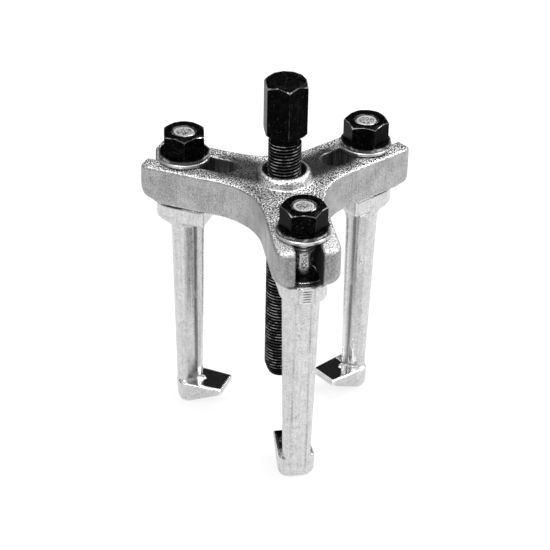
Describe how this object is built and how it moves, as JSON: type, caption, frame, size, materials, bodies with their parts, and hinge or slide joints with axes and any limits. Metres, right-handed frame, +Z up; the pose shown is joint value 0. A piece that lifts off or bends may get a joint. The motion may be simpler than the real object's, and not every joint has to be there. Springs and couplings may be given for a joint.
{
  "type": "gear puller",
  "caption": "Gear puller: hooked jaws slide in the slots of a forged yoke, and a hexagon-headed forcing screw pushes on the shaft.",
  "frame": {"origin": "centre of the pressure tip's flat bearing face, on the forcing screw's axis", "axes": "+Z up the forcing screw towards its hexagon head; the front jaw is towards -Y, the right jaw at 30 degrees and the left jaw at 150 degrees from +X"},
  "size_m": [0.1164, 0.1021, 0.169],
  "materials": {
    "plated_forging": "zinc plated drop forging, shot-blasted texture, satin",
    "bright_plate": "bright zinc plated forging, smooth, lightly streaked",
    "zinc_hardware": "bright zinc plated turned steel",
    "black_oxide": "black oxide, oiled, semi-gloss"
  },
  "bodies": {
    "yoke": {"yoke": "plated_forging"},
    "tip": {"pressure_tip": "black_oxide"},
    "screw": {"forcing_screw": "black_oxide"},
    "washer_front": {"washer_front": "zinc_hardware"},
    "jaw_front": {"jaw_front": "bright_plate", "stud_front": "zinc_hardware"},
    "nut_front": {"nut_front": "black_oxide"},
    "washer_right": {"washer_right": "zinc_hardware"},
    "jaw_right": {"jaw_right": "bright_plate", "stud_right": "zinc_hardware"},
    "nut_right": {"nut_right": "black_oxide"},
    "washer_left": {"washer_left": "zinc_hardware"},
    "jaw_left": {"jaw_left": "bright_plate", "stud_left": "zinc_hardware"},
    "nut_left": {"nut_left": "black_oxide"}
  },
  "joints": [
    {"name": "screw_feed", "type": "slide", "parent": "yoke", "child": "tip", "axis": [0, 0, 1], "range_m": [-0.0165, 0.078]},
    {"name": "screw_turn", "type": "hinge", "parent": "tip", "child": "screw", "pos_m": [0, 0, 0], "axis": [0, 0, 1], "range_deg": [-3961, 18721]},
    {"name": "jaw_slide_front", "type": "slide", "parent": "yoke", "child": "washer_front", "axis": [0, -1, 0], "range_m": [-0.018, 0.01]},
    {"name": "jaw_swing_front", "type": "hinge", "parent": "washer_front", "child": "jaw_front", "pos_m": [0, -0.0455, 0.0806], "axis": [0, 0, 1], "continuous": true},
    {"name": "nut_turn_front", "type": "hinge", "parent": "jaw_front", "child": "nut_front", "pos_m": [0, -0.0455, 0.0806], "axis": [0, 0, 1], "continuous": true},
    {"name": "jaw_slide_right", "type": "slide", "parent": "yoke", "child": "washer_right", "axis": [0.866, 0.5, 0], "range_m": [-0.018, 0.01]},
    {"name": "jaw_swing_right", "type": "hinge", "parent": "washer_right", "child": "jaw_right", "pos_m": [0.0394, 0.02275, 0.0806], "axis": [0, 0, 1], "continuous": true},
    {"name": "nut_turn_right", "type": "hinge", "parent": "jaw_right", "child": "nut_right", "pos_m": [0.0394, 0.02275, 0.0806], "axis": [0, 0, 1], "continuous": true},
    {"name": "jaw_slide_left", "type": "slide", "parent": "yoke", "child": "washer_left", "axis": [-0.866, 0.5, 0], "range_m": [-0.018, 0.01]},
    {"name": "jaw_swing_left", "type": "hinge", "parent": "washer_left", "child": "jaw_left", "pos_m": [-0.0394, 0.02275, 0.0806], "axis": [0, 0, 1], "continuous": true},
    {"name": "nut_turn_left", "type": "hinge", "parent": "jaw_left", "child": "nut_left", "pos_m": [-0.0394, 0.02275, 0.0806], "axis": [0, 0, 1], "continuous": true}
  ],
  "couplings": [
    {"joint": "screw_turn", "follows": "screw_feed", "rad_per_m": 4188.8}
  ]
}
